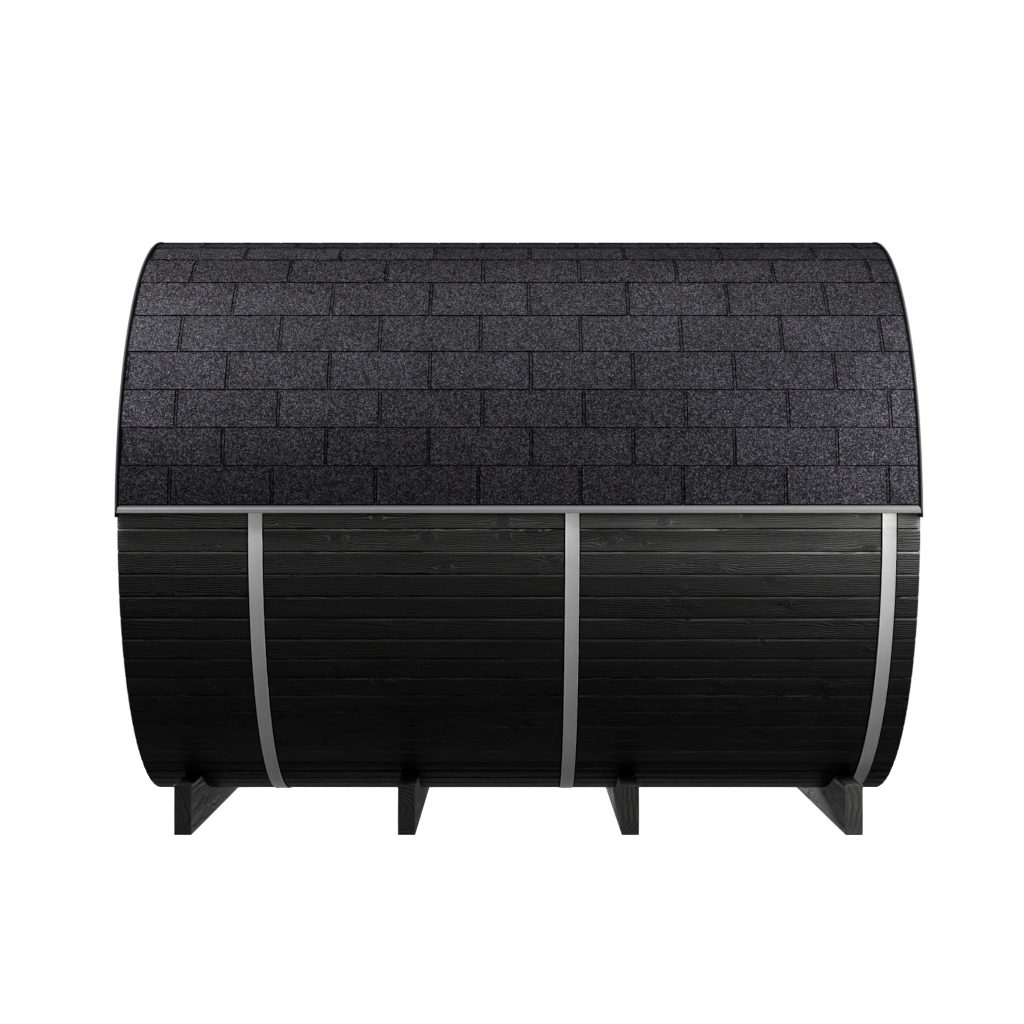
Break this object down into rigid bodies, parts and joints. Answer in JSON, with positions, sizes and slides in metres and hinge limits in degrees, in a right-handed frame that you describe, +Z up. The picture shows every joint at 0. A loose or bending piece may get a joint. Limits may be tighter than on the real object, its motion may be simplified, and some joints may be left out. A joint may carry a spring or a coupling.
{
  "type": "barrel sauna",
  "caption": "Horizontal barrel sauna in dark stained staves with steel bands, end porch, boarded door, cradles and a curved shingle roof.",
  "frame": {"origin": "on the ground under the middle of the barrel, at the bottom centre of the bounding box", "axes": "+X along the barrel from the porch end to the rear end, +Z up, -Y the right-hand side as seen when facing the door"},
  "size_m": [2.614, 2.0694, 2.098],
  "materials": {
    "stained_wood": "near-black stained softwood staves with raised grain",
    "wall_wood": "near-black stained vertical boards",
    "door_wood": "near-black stained boards",
    "floor_wood": "dark stained slats",
    "cradle_wood": "near-black stained planks with wavy grain",
    "roof_board": "plain sawn boards under the shingles",
    "shingles": "dark grey mineral granules on bitumen",
    "band_steel": "satin stainless steel",
    "trim_metal": "satin grey coated sheet",
    "dark_steel": "black coated steel"
  },
  "bodies": {
    "root": {"staves_01": "stained_wood", "staves_02": "stained_wood", "staves_03": "stained_wood", "staves_04": "stained_wood", "staves_05": "stained_wood", "staves_06": "stained_wood", "staves_07": "stained_wood", "staves_08": "stained_wood", "staves_09": "stained_wood", "staves_10": "stained_wood", "staves_11": "stained_wood", "staves_12": "stained_wood", "band_front": "band_steel", "band_middle": "band_steel", "band_rear": "band_steel", "front_wall_left": "wall_wood", "front_wall_right": "wall_wood", "front_wall_over_door": "wall_wood", "front_wall_under_door": "wall_wood", "back_wall": "wall_wood", "door_frame": "door_wood", "door_leaf": "door_wood", "door_handle_outside": "dark_steel", "door_handle_inside": "dark_steel", "upper_hinge": "dark_steel", "lower_hinge": "dark_steel", "porch_floor": "floor_wood", "cabin_floor": "floor_wood", "cradle_1": "cradle_wood", "cradle_2": "cradle_wood", "cradle_3": "cradle_wood", "cradle_4": "cradle_wood", "roof_ribs": "roof_board", "roof_deck_1": "roof_board", "roof_deck_2": "roof_board", "roof_deck_3": "roof_board", "roof_deck_4": "roof_board", "shingles_right": "shingles", "shingles_left": "shingles", "end_trim_front": "trim_metal", "end_trim_rear": "trim_metal", "eave_trim_right": "trim_metal", "eave_trim_left": "trim_metal"}
  },
  "joints": []
}
